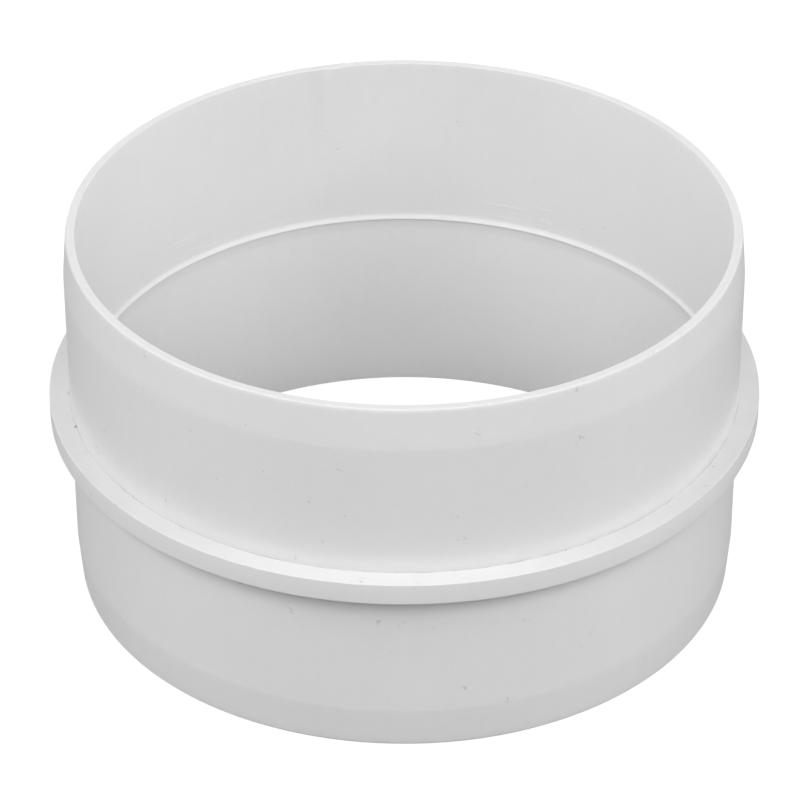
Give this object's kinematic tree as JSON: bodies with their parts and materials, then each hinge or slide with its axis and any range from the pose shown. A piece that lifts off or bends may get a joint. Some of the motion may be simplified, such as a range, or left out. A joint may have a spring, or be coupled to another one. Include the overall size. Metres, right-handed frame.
{
  "type": "push fit coupling",
  "caption": "Rigid plastic coupling for round duct: two plain spigots end to end with a flat stop collar round the middle, tapered ends and a low lip inside.",
  "frame": {"origin": "on the axis, in the plane of the lower rim that the coupling stands on", "axes": "+Z along the axis, from the lower rim to the upper rim; the ring is the same all the way round, so +X and +Y are free"},
  "size_m": [0.1061, 0.106, 0.0578],
  "materials": {
    "white_plastic": "smooth moulded, slight sheen"
  },
  "bodies": {
    "root": {"upper_sleeve": "white_plastic", "lower_sleeve": "white_plastic", "stop_collar": "white_plastic"}
  },
  "joints": []
}
